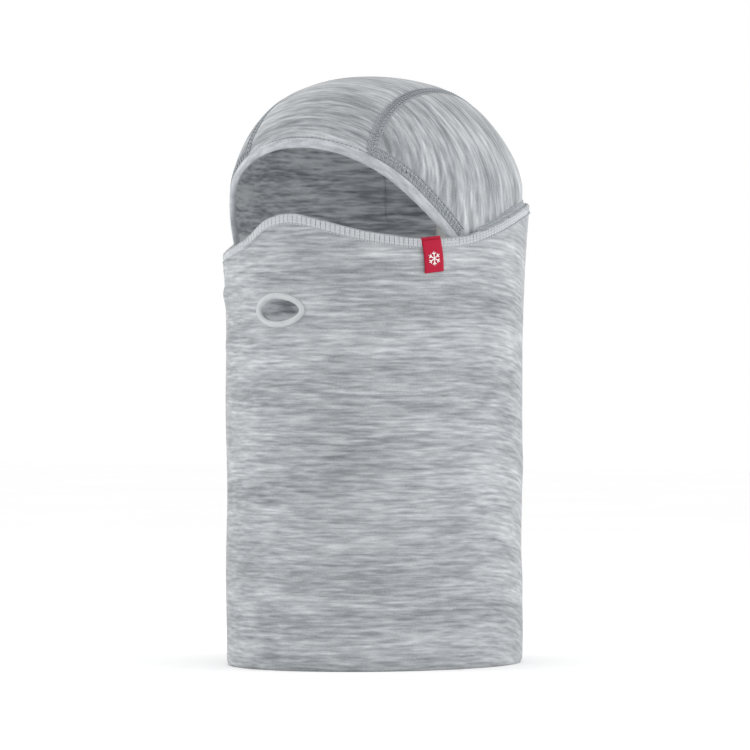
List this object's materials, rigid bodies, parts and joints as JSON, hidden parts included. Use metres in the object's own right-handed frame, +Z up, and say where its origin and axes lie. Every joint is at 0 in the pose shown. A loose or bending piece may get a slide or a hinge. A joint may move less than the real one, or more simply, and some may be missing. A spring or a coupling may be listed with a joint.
{
  "type": "hinged balaclava",
  "caption": "Hinged balaclava: three-panel hood sewn to a heather knit neck tube with a breathing hole, fold-down mask and red side tab.",
  "frame": {"origin": "on the ground under the centre of the object's box, with the balaclava standing on its bottom hem", "axes": "+Z up, from the neck hem to the crown; the face opening looks along -Y; the wearer's left side is +X"},
  "size_m": [0.1848, 0.221, 0.37],
  "materials": {
    "heather_knit": "brushed heather knit, light grey with streaks",
    "hem_knit": "folded heather knit, paler",
    "grey_thread": "grey flatlock thread",
    "pale_thread": "pale coverstitch thread",
    "rim_film": "bonded pale rim",
    "label_satin": "blank white satin label",
    "red_ribbon": "woven red ribbon",
    "white_yarn": "white woven yarn"
  },
  "bodies": {
    "root": {"crown_panel": "heather_knit", "left_side_panel": "heather_knit", "right_side_panel": "heather_knit", "brow_binding": "hem_knit", "brow_stitching": "grey_thread", "left_crown_seam": "grey_thread", "right_crown_seam": "grey_thread", "neck_tube": "heather_knit", "collar_hem": "hem_knit", "hood_seam_upper_stitching": "grey_thread", "hood_seam_lower_stitching": "grey_thread", "bottom_hem": "hem_knit", "back_seam_stitching": "grey_thread", "left_corner_bartack": "grey_thread", "right_corner_bartack": "grey_thread", "care_label": "label_satin", "tab_anchor": "red_ribbon"},
    "mask": {"face_mask_panel": "heather_knit", "mask_hem": "hem_knit", "mask_hem_stitching": "pale_thread", "breathing_hole_rim": "rim_film", "breathing_hole_backing": "rim_film"},
    "tab": {"tab_label": "red_ribbon", "tab_motif": "white_yarn"}
  },
  "joints": [
    {"name": "mask_hinge", "type": "hinge", "parent": "root", "child": "mask", "pos_m": [0, -0.047, 0.266], "axis": [1, 0, 0], "range_deg": [0, 60]},
    {"name": "tab_flap", "type": "hinge", "parent": "root", "child": "tab", "pos_m": [0.0797, -0.05712, 0.264], "axis": [-0.454, -0.891, 0], "range_deg": [0, 150]}
  ]
}
